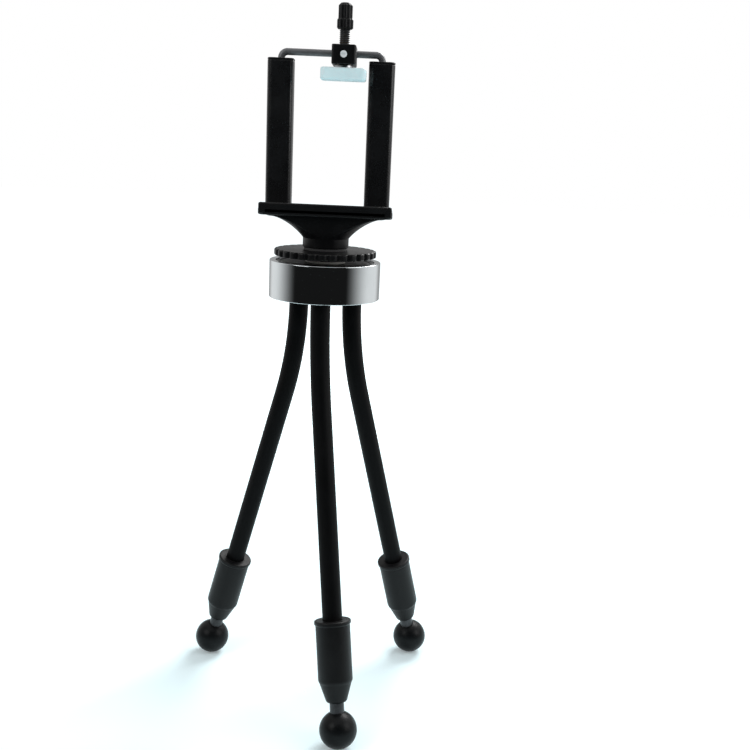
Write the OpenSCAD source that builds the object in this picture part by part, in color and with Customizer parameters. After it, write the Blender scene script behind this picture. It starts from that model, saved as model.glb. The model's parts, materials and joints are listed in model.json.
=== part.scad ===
// Small phone tripod: three bendable legs with ball feet, a round hub, a platform wheel with a
// quarter-inch screw, and a spring clamp that holds a phone between a ledge and a screwed pad.
// Millimetres, +Z up, the front leg towards -Y. The origin is on the floor, at the middle of the
// footprint of the three feet.

/* [Legs] */
// Diameter of the rubber skin of a leg
leg_d = 7.7; // [6.8:0.1:9]
// Diameter of the soft wire inside a leg
core_d = 3.2; // [2:0.1:4]
// Length of each of the two upper flexible stretches, from one bending place to the next
link_len = 20; // [16:1:40]
// Length of the third flexible stretch
mid_len = 44; // [24:1:50]
// Length from the last bending place to the middle of the ball foot
tail_len = 79.1; // [66:0.1:90]
// How far a leg is bent outward over its two upper stretches, in degrees
leg_bend = 16; // [10:0.25:22]
// Direction in which the left leg is bent, in degrees from the front, positive to the right
left_leg_turn = -111.9; // [-130:0.1:-100]
// Direction in which the front leg is bent, in degrees
front_leg_turn = 20.5; // [-10:0.1:30]
// Direction in which the right leg is bent, in degrees
right_leg_turn = 127.1; // [105:0.1:140]

/* [Feet] */
// Diameter of the ball feet
ball_d = 14.6; // [12:0.1:20]
// Diameter of the end sleeves
sleeve_d = 13.4; // [12.6:0.1:16]
// Length of the end sleeves
sleeve_len = 31.3; // [28:0.1:36]
// Length of the tapered lower end of a sleeve
sleeve_taper = 7.3; // [4:0.1:10]
// Thickness of the raised rim round a sleeve's top
rim_h = 1.8; // [1:0.1:3]
// How far the rim stands out of the sleeve
rim_out = 0.45; // [0.2:0.05:1]
// Diameter of the foot studs
stud_d = 5.6; // [4.4:0.1:6.4]
// Length of stud that shows between the sleeve and the ball
neck_len = 3.4; // [2:0.1:6]

/* [Hub] */
// Outer diameter of the bright hub collar
hub_d = 43.6; // [42:0.1:52]
// Height of the hub collar
hub_h = 14.5; // [14:0.5:22]
// Wall of the hub collar
collar_wall = 2.4; // [1.5:0.1:2.6]
// Radius of the circle on which the legs leave the hub
leg_circle_r = 12.4; // [12.2:0.1:12.8]
// Turn of the three leg sockets round the hub, in degrees
socket_turn = -2.5; // [-20:0.5:20]
// Thickness of the plate that closes the hub below
plate_t = 2; // [1.5:0.1:3]
// Diameter of the plate screws
plate_screw_d = 2.5; // [2:0.1:3]

/* [Platform] */
// Diameter of the platform wheel
wheel_d = 40.1; // [34:0.1:43]
// Thickness of the platform wheel
wheel_t = 2.6; // [2:0.1:4]
// Number of grip notches round the wheel
wheel_notches = 30; // [12:1:40]
// Diameter of the quarter-inch mounting screw
mount_screw_d = 6.35; // [5.8:0.05:6.6]
// Height of the mounting screw above the wheel
mount_screw_h = 6.4; // [4.5:0.1:6.8]

/* [Clamp base] */
// Width of the phone ledge
ledge_w = 51.2; // [50:0.2:64]
// Depth of the phone ledge in front of the rails
ledge_front = 13; // [11:0.5:18]
// Thickness of the ledge
ledge_t = 2.7; // [2.4:0.1:4]
// Height of the front lip above the ledge
lip_h = 2; // [1:0.1:5]
// Thickness of the front lip
lip_t = 2; // [1.5:0.1:3]
// Diameter of the neck under the ledge
neck_d = 18; // [16:0.1:22]
// Height of the straight part of the neck
neck_h = 3.7; // [3.5:0.1:8]
// Height of the flare between the neck and the ledge
flare_h = 8.8; // [6:0.1:12]
// Width of the flare where it meets the ledge
flare_w = 47; // [36:0.5:48]

/* [Rails] */
// Width of a rail, seen from the front
rail_w = 10; // [8.6:0.1:11]
// Depth of a rail
rail_depth = 8; // [7.8:0.1:11]
// Height of the rails above the ledge
rail_h = 54.5; // [52:0.1:80]
// Distance between the middles of the rails
rail_gap = 38.5; // [36:0.1:40]
// Diameter of the bore inside a rail
rail_bore_d = 6.4; // [6:0.1:7]

/* [Bail and screw] */
// Diameter of the bail wire
bail_d = 2.6; // [2:0.1:3]
// Radius of the bends at the bail's corners, on the wire's middle
bail_bend_r = 2.4; // [2:0.1:4]
// Travel of the bail out of the rails
bail_travel = 30; // [20:1:30]
// Diameter of the thumb screw
thumb_d = 4; // [3:0.1:5]
// Distance of the thumb screw to the right of the middle
thumb_x = 5; // [0:0.1:8]
// Travel of the thumb screw
thumb_travel = 5; // [2:0.5:8]
// Diameter of the screw knob at its lower, wider end
knob_d = 6.2; // [5:0.1:12]
// Height of the screw knob
knob_h = 9.3; // [6:0.1:16]
// Number of flutes round the knob
knob_flutes = 10; // [6:1:16]
// Width of the nut block, along the bail
block_w = 9; // [8:0.1:14]
// Height of the nut block
block_h = 7; // [6:0.1:10]
// Width of the pressure pad
pad_w = 17; // [12:0.5:26]
// Depth of the pressure pad
pad_depth = 10; // [8:0.5:11]
// Height of the pressure pad
pad_t = 4.6; // [4:0.1:6]
// Thickness of rubber under the swivel
pad_face_t = 1.2; // [1:0.1:3]

/* [Hidden] */
$fn = 64;
// Radial clearance of turning and sliding fits
run_gap = 0.06;
// Clearance of pieces that are fixed in each other
seat_gap = 0.03;
// Clearance round pieces that never touch their neighbours
free_gap = 0.3;
// How far cuts run past the surface that they open
cut = 1;
// Small bevel on turned and moulded edges
bevel = 0.5;

leg_r = leg_d / 2;
core_r = core_d / 2;
// the ends of two stretches meet as a dome in a dish, which stops at a rim above the middle
dome_r = leg_r - bevel / 2;
dish_share = 0.455;
dish_rim = leg_r * dish_share;
dish_floor = dome_r + run_gap;
core_wall = bevel * 2;
core_top = bevel;
core_end = link_len - dish_floor - core_wall;
mid_core_end = mid_len - dish_floor - core_wall;
bend_r = 2 * link_len / (leg_bend * PI / 180);
half_bend = leg_bend / 2;

ball_r = ball_d / 2;
sleeve_r = sleeve_d / 2;
stud_r = stud_d / 2;
rim_to_ball = sleeve_len + neck_len + ball_r;
sleeve_foot = ball_r + neck_len;
socket_foot = rim_to_ball - sleeve_d;
stud_share = 0.66;
stud_in_ball = ball_r * stud_share;

// outward and downward distances along a leg's middle line, from its first bending place
out_2 = bend_r * (1 - cos(half_bend));
drop_2 = bend_r * sin(half_bend);
out_3 = bend_r * (1 - cos(leg_bend));
drop_3 = bend_r * sin(leg_bend);
out_4 = out_3 + mid_len * sin(leg_bend);
drop_4 = drop_3 + mid_len * cos(leg_bend);
leg_out = out_4 + tail_len * sin(leg_bend);
leg_drop = drop_4 + tail_len * cos(leg_bend);

ferrule_show = bevel * 0.8;
root_z = ball_r + leg_drop;
hub_z = root_z + dish_rim + ferrule_show;
hub_top = hub_z + hub_h;
hub_r = hub_d / 2;
body_r = hub_r - collar_wall - seat_gap;
plate_z = hub_z + ferrule_show;
body_z = plate_z + plate_t;
body_top = hub_top - bevel;
flange_t = 1.6;
flange_out = 2.2;
flange_r = leg_r + flange_out;
barrel_wall = 1.2;
barrel_r = leg_r + barrel_wall;
barrel_h = 8;
leg_turns = [left_leg_turn, front_leg_turn, right_leg_turn];
socket_turns = [socket_turn - 120, socket_turn, socket_turn + 120];

function facing(turn) = [sin(turn), -cos(turn)];
function foot_at(i) = leg_circle_r * facing(socket_turns[i]) + leg_out * facing(leg_turns[i]);
feet = [for (i = [0:2]) foot_at(i)];
// the hub's axis, seen from the middle of the footprint
axis_x = -(min([for (f = feet) f[0]]) + max([for (f = feet) f[0]])) / 2;
axis_y = -(min([for (f = feet) f[1]]) + max([for (f = feet) f[1]])) / 2;

mount_r = mount_screw_d / 2;
head_out = 1.7;
head_r = mount_r + head_out;
head_h = 2.4;
head_lift = 2;
head_z = body_z + head_lift;
bush_wall = 1.4;
bush_z = head_z + head_h + free_gap;
thrust_t = 0.8;
thrust_r = 8;
wheel_boss_z = body_top + thrust_t + run_gap;
wheel_boss_h = 1.4;
wheel_z = wheel_boss_z + wheel_boss_h;
wheel_top = wheel_z + wheel_t;
wheel_r = wheel_d / 2;
notch_r = wheel_r * PI / wheel_notches / 2;
grip_t = 0.8;

base_z = wheel_top + grip_t + run_gap;
flare_z = base_z + neck_h;
ledge_z = flare_z + flare_h;
floor_z = ledge_z + ledge_t;
insert_wall = 1.5;
insert_spare = 1;
insert_h = mount_screw_h + insert_spare;
back_margin = 2;
ledge_back = rail_depth + back_margin;
corner_r = 3;
ledge_pad_t = 0.8;
rail_front = 0;
rail_y = rail_depth / 2;
rail_x = rail_gap / 2;
rail_edge_r = 2;
rail_foot = 5;
rail_screw_d = 3;
rail_screw_len = ledge_t + rail_foot - bevel * 4;
rail_screw_head_d = 5.2;
rail_screw_head_h = 1.4;
cap_h = 2.5;
cap_plate = 0.9;
bore_r = rail_bore_d / 2;
rail_top = floor_z + rail_h;
bore_z = floor_z + rail_foot;
cap_z = rail_top - cap_h;

bail_r = bail_d / 2;
bail_z = rail_top + cap_plate + bail_bend_r + free_gap / 3;
stop_h = 2;
bail_foot = bore_z + free_gap;
spring_wire = 0.9;
spring_r = bore_r - spring_wire / 2 - free_gap;
spring_z = bail_foot + stop_h + seat_gap;
spring_len = cap_z - spring_z - seat_gap;
// the turns fill this share of the length that is left when the bail is all the way out
packed_share = 0.75;
spring_turns = floor((spring_len - bail_travel) / spring_wire * packed_share);
spring_steps = 8;
spring_sides = 6;

thumb_r = thumb_d / 2;
nut_wall = 1.5;
// the pad and the screw stand in front of the rails, where the phone is
thumb_y = -pad_depth / 2 - free_gap;
block_wall = 1.6;
block_front = thumb_r + nut_wall + block_wall - thumb_y;
block_back = 6.4;
// the block hangs a little lower than the middle of the bail's bar
block_drop = 1.2;
block_mid = bail_z - block_drop;
block_z = block_mid - block_h / 2;
set_screw_d = 2.5;
tip_out = 0.3;
tip_r = thumb_r + tip_out;
swivel_wall = 1.1;
swivel_r = tip_r + swivel_wall;
swivel_lip = 0.6;
swivel_plate = 0.8;
// the cup reaches past the middle of the screw's ball, so that it holds it
swivel_h = swivel_plate + tip_r + swivel_wall;
swivel_z = block_z - free_gap - swivel_h;
tip_z = swivel_z + swivel_plate + tip_r;
pad_z = swivel_z - pad_face_t;
pad_round = 2;
knob_z = block_z + block_h + thumb_travel + free_gap * 2;
knob_top_share = 0.87;
knob_top_r = knob_d / 2 * knob_top_share;
knob_skirt_share = 0.35;

// the trumpet between the neck and the ledge: part cone, part quarter ellipse, and an upright band
cone_share = 0.45;
flare_out = (flare_w - neck_d) / 2;
flare_steps = 8;
flare_points = [for (n = [0:flare_steps]) let (a = n * 90 / flare_steps)
    [neck_d / 2 + flare_out * (cone_share * sin(a) + (1 - cone_share) * (1 - cos(a))),
        flare_z + (flare_h - bevel) * sin(a)]];

leg_black = [0.1, 0.1, 0.105];
sleeve_grey = [0.2, 0.2, 0.21];
wire_grey = [0.45, 0.45, 0.46];
ball_black = [0.08, 0.08, 0.085];

LEGS = ["left", "front", "right"];

// places its children with the hub's axis as Z
module on_axis() {
    translate([axis_x, axis_y, 0]) children();
}

// a ring or disc round Z
module ring(r, hole, z, h) {
    translate([0, 0, z]) difference() {
        cylinder(r = r, h = h);
        if (hole > 0) translate([0, 0, -cut]) cylinder(r = hole, h = h + 2 * cut);
    }
}

// a disc with bevelled edges round Z
module bevelled(r, z, h, b) {
    rotate_extrude() polygon([[0, z], [r - b, z], [r, z + b], [r, z + h - b], [r - b, z + h],
        [0, z + h]]);
}

// a slab with rounded corners, seen from above
module slab(x, y_low, y_high, r, z, h) {
    translate([0, 0, z]) linear_extrude(h) union() {
        translate([-x / 2 + r, y_low]) square([x - 2 * r, y_high - y_low]);
        translate([-x / 2, y_low + r]) square([x, y_high - y_low - 2 * r]);
        for (u = [-x / 2 + r, x / 2 - r], v = [y_low + r, y_high - r])
            translate([u, v]) circle(r = r);
    }
}

// places its children at one leg socket, with X along the leg's bend and Z upward
module at_root(i) {
    root = leg_circle_r * facing(socket_turns[i]);
    on_axis() translate([root[0], root[1], root_z]) rotate([0, 0, leg_turns[i] - 90]) children();
}

// places its children at a bending place, 1 to 4, with Z back up along the leg
module at_joint(i, k) {
    outs = [0, out_2, out_3, out_4];
    drops = [0, drop_2, drop_3, drop_4];
    leans = [0, half_bend, leg_bend, leg_bend];
    at_root(i) translate([outs[k - 1], 0, -drops[k - 1]]) rotate([0, -leans[k - 1], 0]) children();
}

// a round rod that follows the leg's bend, between two distances along it
module bent_rod(r, from, to) {
    turn = from / bend_r * 180 / PI;
    translate([bend_r, 0, 0]) rotate([90, 0, 0]) rotate([0, 0, 180 + turn])
        rotate_extrude(angle = (to - from) / bend_r * 180 / PI) translate([bend_r, 0]) circle(r = r);
}

module straight_rod(r, from, to) {
    translate([0, 0, -to]) cylinder(r = r, h = to - from);
}

module bent_skin(i, k) {
    at_joint(i, k) difference() {
        union() {
            sphere(r = dome_r);
            bent_rod(leg_r, 0, link_len - dish_rim);
        }
        bent_rod(core_r + seat_gap, core_top, core_end);
        translate([out_2, 0, -drop_2]) sphere(r = dish_floor);
    }
}

module bent_core(i, k) {
    at_joint(i, k) bent_rod(core_r, core_top + seat_gap, core_end - seat_gap);
}

module straight_skin(i) {
    at_joint(i, 3) difference() {
        union() {
            sphere(r = dome_r);
            straight_rod(leg_r, 0, mid_len - dish_rim);
        }
        straight_rod(core_r + seat_gap, core_top, mid_core_end);
        translate([0, 0, -mid_len]) sphere(r = dish_floor);
    }
}

module straight_core(i) {
    at_joint(i, 3) straight_rod(core_r, core_top + seat_gap, mid_core_end - seat_gap);
}

module tail_skin(i) {
    at_joint(i, 4) difference() {
        union() {
            sphere(r = dome_r);
            straight_rod(leg_r, 0, tail_len - socket_foot - seat_gap);
        }
        straight_rod(core_r + seat_gap, core_top, tail_len);
    }
}

// the wire of the last stretch, which ends in the stud that carries the ball
module stud(i) {
    at_joint(i, 4) union() {
        straight_rod(core_r, core_top + seat_gap, tail_len - socket_foot + bevel);
        straight_rod(stud_r, tail_len - socket_foot, tail_len - ball_r + stud_in_ball);
    }
}

module sleeve(i) {
    at_joint(i, 4) translate([0, 0, -tail_len]) difference() {
        rotate_extrude() polygon([[0, sleeve_foot],
            [stud_r + bevel * 1.6, sleeve_foot],
            [stud_r + bevel * 2.6, sleeve_foot + bevel],
            [sleeve_r - bevel, sleeve_foot + sleeve_taper],
            [sleeve_r, sleeve_foot + sleeve_taper + bevel * 2],
            [sleeve_r, rim_to_ball - rim_h],
            [sleeve_r + rim_out, rim_to_ball - rim_h + rim_out],
            [sleeve_r + rim_out, rim_to_ball - rim_out],
            [sleeve_r, rim_to_ball],
            [0, rim_to_ball]]);
        translate([0, 0, socket_foot]) cylinder(r = leg_r + seat_gap, h = rim_to_ball);
        cylinder(r = stud_r + seat_gap, h = rim_to_ball);
    }
}

module ball(i) {
    at_joint(i, 4) translate([0, 0, -tail_len]) difference() {
        sphere(r = ball_r);
        translate([0, 0, ball_r - stud_in_ball - seat_gap])
            cylinder(r = stud_r + seat_gap, h = ball_r);
    }
}

// places its children at each leg socket, without the leg's own turn
module at_sockets() {
    for (t = socket_turns) on_axis()
        translate([leg_circle_r * sin(t), -leg_circle_r * cos(t), 0]) children();
}

module at_plate_screws() {
    for (t = socket_turns) on_axis() rotate([0, 0, t + 90]) translate([leg_circle_r, 0, 0])
        children();
}

module hub_body() {
    color([0.07, 0.07, 0.075]) difference() {
        on_axis() bevelled(body_r, body_z, body_top - body_z, bevel / 2);
        at_sockets() translate([0, 0, body_z - cut])
            cylinder(r = barrel_r + seat_gap, h = cut + flange_t + barrel_h + seat_gap);
        at_sockets() translate([0, 0, body_z - cut])
            cylinder(r = flange_r + seat_gap, h = cut + flange_t + seat_gap);
        at_plate_screws() translate([0, 0, body_z - cut])
            cylinder(r = plate_screw_d / 2 + seat_gap, h = cut + barrel_h);
        on_axis() translate([0, 0, body_z - cut]) cylinder(r = head_r + free_gap,
            h = bush_z - body_z + cut);
        on_axis() translate([0, 0, body_z]) cylinder(r = mount_r + bush_wall + seat_gap, h = hub_h);
    }
}

module hub_collar() {
    color([0.85, 0.86, 0.88]) on_axis() difference() {
        bevelled(hub_r, hub_z, hub_h, bevel);
        translate([0, 0, hub_z - cut]) cylinder(r = hub_r - collar_wall, h = hub_h + 2 * cut);
    }
}

module bottom_plate() {
    color([0.07, 0.07, 0.075]) difference() {
        on_axis() ring(body_r, 0, plate_z, plate_t - seat_gap);
        at_sockets() translate([0, 0, plate_z - cut])
            cylinder(r = leg_r + run_gap, h = plate_t + 2 * cut);
        at_plate_screws() translate([0, 0, plate_z - cut])
            cylinder(r = plate_screw_d / 2 + seat_gap, h = plate_t + 2 * cut);
        at_plate_screws() translate([0, 0, plate_z - cut])
            cylinder(r = plate_screw_d + seat_gap, h = plate_t / 2 + cut);
    }
}

module plate_screws() {
    color([0.7, 0.71, 0.73]) at_plate_screws() difference() {
        union() {
            translate([0, 0, plate_z + bevel / 2])
                cylinder(r = plate_screw_d, h = plate_t / 2 - bevel / 2 - seat_gap);
            translate([0, 0, plate_z + plate_t / 2 - bevel])
                cylinder(r = plate_screw_d / 2, h = plate_t / 2 + barrel_h - bevel * 2);
        }
        translate([-plate_screw_d, -bevel / 2, plate_z - cut])
            cube([plate_screw_d * 2, bevel, cut + bevel]);
    }
}

module leg_ferrules() {
    color([0.1, 0.1, 0.105]) for (i = [0:2]) at_root(i) difference() {
        union() {
            translate([0, 0, dish_rim]) cylinder(r = leg_r, h = body_z - root_z - dish_rim + bevel);
            translate([0, 0, body_z - root_z]) cylinder(r = flange_r, h = flange_t);
            translate([0, 0, body_z - root_z]) cylinder(r = barrel_r, h = flange_t + barrel_h);
        }
        sphere(r = dish_floor);
        translate([0, 0, body_z - root_z + flange_t])
            cylinder(r = core_r + seat_gap, h = barrel_h + cut);
    }
}

module spindle_bush() {
    color([0.72, 0.58, 0.3]) on_axis()
        ring(mount_r + bush_wall, mount_r + run_gap, bush_z, body_top - bush_z);
}

module thrust_washer() {
    color([0.85, 0.85, 0.8]) on_axis() ring(thrust_r, mount_r + free_gap, body_top, thrust_t);
}

module platform_wheel() {
    color([0.05, 0.05, 0.055]) on_axis() difference() {
        union() {
            bevelled(wheel_r, wheel_z, wheel_t, bevel);
            translate([0, 0, wheel_boss_z]) cylinder(r = thrust_r, h = wheel_boss_h + bevel);
        }
        translate([0, 0, wheel_boss_z - cut]) cylinder(r = mount_r + seat_gap, h = hub_h);
        for (n = [0:wheel_notches - 1]) rotate([0, 0, n * 360 / wheel_notches])
            translate([wheel_r + notch_r / 2, 0, wheel_z - cut])
                cylinder(r = notch_r, h = wheel_t + 2 * cut);
    }
}

module mount_screw() {
    color([0.75, 0.76, 0.78]) on_axis() union() {
        bevelled(head_r, head_z, head_h, bevel);
        translate([0, 0, head_z + head_h / 2])
            cylinder(r = mount_r, h = wheel_top + mount_screw_h - head_z - head_h / 2 - bevel);
        translate([0, 0, wheel_top + mount_screw_h - bevel])
            cylinder(r1 = mount_r, r2 = mount_r - bevel, h = bevel);
    }
}

module grip_washer() {
    color([0.12, 0.12, 0.12]) on_axis()
        ring(neck_d / 2 - bevel, mount_r + free_gap, wheel_top, grip_t);
}

module clamp_base() {
    color([0.05, 0.05, 0.055]) on_axis() difference() {
        union() {
            intersection() {
                rotate_extrude() polygon(concat([[0, base_z], [neck_d / 2 - bevel, base_z],
                    [neck_d / 2, base_z + bevel]], flare_points,
                    [[flare_w / 2, ledge_z + bevel], [0, ledge_z + bevel]]));
                slab(flare_w + neck_d, -neck_d / 2 - bevel, neck_d / 2 + bevel, corner_r,
                    base_z - cut, ledge_z - base_z + cut * 2);
            }
            difference() {
                slab(ledge_w, -ledge_front, ledge_back, corner_r, ledge_z, ledge_t + lip_h);
                translate([-ledge_w, -ledge_front + lip_t, floor_z])
                    cube([ledge_w * 2, ledge_front + ledge_back, lip_h + cut]);
            }
        }
        translate([0, 0, base_z - cut]) cylinder(r = mount_r + insert_wall + seat_gap,
            h = insert_h + cut + seat_gap);
        for (s = [-1, 1]) translate([s * rail_x, rail_y, base_z]) {
            cylinder(r = rail_screw_d / 2 + seat_gap, h = floor_z);
            cylinder(r = rail_screw_head_d / 2 + free_gap, h = ledge_z - base_z + rail_screw_head_h);
        }
    }
}

module threaded_insert() {
    color([0.78, 0.62, 0.3]) on_axis()
        ring(mount_r + insert_wall, mount_r + run_gap, base_z + seat_gap, insert_h - seat_gap);
}

module ledge_pad() {
    color([0.09, 0.09, 0.09]) on_axis() slab(ledge_w - corner_r, -ledge_front + lip_t + free_gap,
        rail_front - free_gap, corner_r / 2, floor_z, ledge_pad_t);
}

module rail(side) {
    color([0.06, 0.06, 0.065]) on_axis() difference() {
        translate([side * rail_x, 0, 0])
            slab(rail_w, rail_front, rail_front + rail_depth, rail_edge_r, floor_z, rail_h);
        translate([side * rail_x, rail_y, bore_z]) cylinder(r = bore_r, h = rail_h);
        translate([side * rail_x, rail_y, floor_z - cut])
            cylinder(r = rail_screw_d / 2 + seat_gap, h = rail_foot + cut * 2);
    }
}

module left_rail() { rail(-1); }
module right_rail() { rail(1); }

module rail_caps() {
    color([0.09, 0.09, 0.095]) on_axis() for (s = [-1, 1]) translate([s * rail_x, 0, 0])
        difference() {
            union() {
                slab(rail_w, rail_front, rail_front + rail_depth, rail_edge_r, rail_top, cap_plate);
                translate([0, rail_y, cap_z]) cylinder(r = bore_r - seat_gap, h = cap_h + bevel);
            }
            translate([0, rail_y, cap_z - cut])
                cylinder(r = bail_r + run_gap, h = cap_h + cap_plate + 2 * cut);
        }
}

module rail_screws() {
    color([0.7, 0.71, 0.73]) on_axis() for (s = [-1, 1])
        translate([s * rail_x, rail_y, ledge_z]) difference() {
            union() {
                cylinder(r = rail_screw_head_d / 2, h = rail_screw_head_h - seat_gap);
                cylinder(r = rail_screw_d / 2, h = rail_screw_len);
            }
            translate([-rail_screw_head_d / 2, -bevel / 2, -cut])
                cube([rail_screw_head_d, bevel, cut + bevel]);
        }
}

// one unbroken helix of round wire with flat-lying ends, as a single closed tube
module bail_spring(side) {
    rings = spring_turns * spring_steps;
    rise = spring_len - spring_wire;
    points = [for (n = [0:rings], m = [0:spring_sides - 1])
        let (a = n * 360 / spring_steps, b = m * 360 / spring_sides,
            r = spring_r + spring_wire / 2 * cos(b))
        [r * cos(a), r * sin(a), spring_wire / 2 + rise * n / rings + spring_wire / 2 * sin(b)]];
    walls = [for (n = [0:rings - 1], m = [0:spring_sides - 1])
        let (a = n * spring_sides, next = (m + 1) % spring_sides)
        each [[a + m, a + next, a + spring_sides + next],
            [a + m, a + spring_sides + next, a + spring_sides + m]]];
    start = [for (m = [1:spring_sides - 2]) [0, m + 1, m]];
    last = rings * spring_sides;
    finish = [for (m = [1:spring_sides - 2]) [last, last + m, last + m + 1]];
    color([0.6, 0.61, 0.63]) on_axis() translate([side * rail_x, rail_y, spring_z])
        polyhedron(points, concat(walls, start, finish));
}

module left_bail_spring() { bail_spring(-1); }
module right_bail_spring() { bail_spring(1); }

module bail() {
    color([0.55, 0.56, 0.58]) on_axis() translate([0, rail_y, 0]) union() {
        translate([-rail_x + bail_bend_r, 0, bail_z]) rotate([0, 90, 0])
            cylinder(r = bail_r, h = rail_gap - 2 * bail_bend_r);
        for (s = [-1, 1]) {
            translate([s * rail_x, 0, bail_foot])
                cylinder(r = bail_r, h = bail_z - bail_bend_r - bail_foot);
            translate([s * (rail_x - bail_bend_r), 0, bail_z - bail_bend_r]) rotate([90, 0, 0])
                rotate([0, 0, s > 0 ? 0 : 90])
                    rotate_extrude(angle = 90) translate([bail_bend_r, 0]) circle(r = bail_r);
        }
    }
}

module bail_stops() {
    color([0.6, 0.61, 0.63]) on_axis() for (s = [-1, 1]) translate([s * rail_x, rail_y, 0])
        ring(bore_r - free_gap, bail_r + seat_gap, bail_foot, stop_h);
}

module nut_block() {
    color([0.06, 0.06, 0.065]) on_axis() difference() {
        translate([thumb_x, 0, 0])
            slab(block_w, -block_front, block_back, bevel * 2, block_z, block_h);
        translate([-rail_gap, rail_y, bail_z]) rotate([0, 90, 0])
            cylinder(r = bail_r + seat_gap, h = 2 * rail_gap);
        translate([thumb_x, thumb_y, block_z - cut])
            cylinder(r = thumb_r + nut_wall + seat_gap, h = block_h + 2 * cut);
        translate([thumb_x, -block_front - cut, block_mid]) rotate([-90, 0, 0])
            cylinder(r = set_screw_d / 2 + seat_gap, h = block_front + cut + thumb_y - thumb_r);
    }
}

module thumb_nut() {
    color([0.78, 0.62, 0.3]) on_axis() translate([thumb_x, thumb_y, 0])
        ring(thumb_r + nut_wall, thumb_r + run_gap, block_z, block_h);
}

// the screw stands a little out of the block and ends just before the nut
module nut_lock_screw() {
    color([0.85, 0.86, 0.88]) on_axis() translate([thumb_x, -block_front - bevel, block_mid])
        rotate([-90, 0, 0]) difference() {
            cylinder(r = set_screw_d / 2, h = block_wall + bevel / 2);
            translate([-set_screw_d, -bevel / 2, -cut]) cube([set_screw_d * 2, bevel, cut + bevel / 2]);
        }
}

module pad_swivel() {
    color([0.6, 0.61, 0.63]) on_axis() translate([thumb_x, thumb_y, 0]) difference() {
        union() {
            translate([0, 0, swivel_z]) cylinder(r = swivel_r + swivel_lip, h = swivel_plate);
            translate([0, 0, swivel_z]) cylinder(r = swivel_r, h = swivel_h);
        }
        translate([0, 0, tip_z]) sphere(r = tip_r + run_gap);
        translate([0, 0, tip_z]) cylinder(r = thumb_r + run_gap, h = swivel_h);
    }
}

module pressure_pad() {
    color([0.72, 0.88, 0.9]) on_axis() translate([thumb_x, thumb_y, 0]) difference() {
        slab(pad_w, -pad_depth / 2, pad_depth / 2, pad_round, pad_z, pad_t);
        translate([0, 0, swivel_z - seat_gap])
            cylinder(r = swivel_r + swivel_lip + seat_gap, h = swivel_plate + seat_gap * 2);
        translate([0, 0, swivel_z]) cylinder(r = swivel_r + seat_gap, h = pad_t);
    }
}

module thumb_screw() {
    color([0.3, 0.3, 0.31]) on_axis() translate([thumb_x, thumb_y, tip_z]) union() {
        sphere(r = tip_r);
        cylinder(r = thumb_r, h = knob_z + knob_h / 2 - tip_z);
    }
}

module screw_knob() {
    color([0.06, 0.06, 0.065]) on_axis() translate([thumb_x, thumb_y, knob_z]) difference() {
        rotate_extrude() polygon([[0, 0], [knob_d / 2 - bevel, 0], [knob_d / 2, bevel],
            [knob_d / 2, knob_h * knob_skirt_share], [knob_top_r, knob_h * knob_skirt_share + bevel],
            [knob_top_r, knob_h - bevel * 2], [knob_top_r - bevel * 2, knob_h], [0, knob_h]]);
        translate([0, 0, -cut]) cylinder(r = thumb_r + seat_gap, h = knob_h / 2 + cut + seat_gap);
        for (n = [0:knob_flutes - 1]) rotate([0, 0, n * 360 / knob_flutes])
            translate([knob_d / 2 + bevel / 2, 0, -cut]) cylinder(r = bevel, h = knob_h + 2 * cut);
    }
}

hub_body();
hub_collar();
bottom_plate();
plate_screws();
leg_ferrules();
spindle_bush();
thrust_washer();
platform_wheel();
mount_screw();
grip_washer();
clamp_base();
threaded_insert();
ledge_pad();
left_rail();
right_rail();
rail_caps();
rail_screws();
left_bail_spring();
right_bail_spring();
bail();
bail_stops();
nut_block();
thumb_nut();
nut_lock_screw();
pad_swivel();
pressure_pad();
thumb_screw();
screw_knob();
for (i = [0:2]) {
    color(leg_black) bent_skin(i, 1);
    color(leg_black) bent_skin(i, 2);
    color(leg_black) straight_skin(i);
    color(leg_black) tail_skin(i);
    color(wire_grey) bent_core(i, 1);
    color(wire_grey) bent_core(i, 2);
    color(wire_grey) straight_core(i);
    color(wire_grey) stud(i);
    color(sleeve_grey) sleeve(i);
    color(ball_black) ball(i);
}
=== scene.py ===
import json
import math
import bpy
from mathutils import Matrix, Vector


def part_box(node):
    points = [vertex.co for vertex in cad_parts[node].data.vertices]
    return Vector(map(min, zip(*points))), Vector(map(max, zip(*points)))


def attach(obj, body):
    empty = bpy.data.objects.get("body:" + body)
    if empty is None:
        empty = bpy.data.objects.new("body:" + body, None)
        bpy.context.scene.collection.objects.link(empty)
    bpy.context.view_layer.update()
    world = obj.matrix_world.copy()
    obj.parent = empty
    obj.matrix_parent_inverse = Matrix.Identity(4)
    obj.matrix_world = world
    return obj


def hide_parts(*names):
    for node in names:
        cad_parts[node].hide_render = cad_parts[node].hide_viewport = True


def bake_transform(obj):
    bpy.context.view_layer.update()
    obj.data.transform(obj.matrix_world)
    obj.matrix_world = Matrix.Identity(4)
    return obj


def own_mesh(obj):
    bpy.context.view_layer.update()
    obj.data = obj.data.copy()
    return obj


bl_info = {
    "name": "Phone Tripod",
    "version": (1, 0, 0),
    "blender": (4, 5, 0),
    "location": "View3D > Sidebar > Tripod",
    "description": "Dresses a small tripod with bendable legs and a phone clamp",
    "category": "Object",
}

import bpy
import numpy as np
from bpy.props import FloatProperty, FloatVectorProperty, IntProperty, PointerProperty
from mathutils import Matrix

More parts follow.
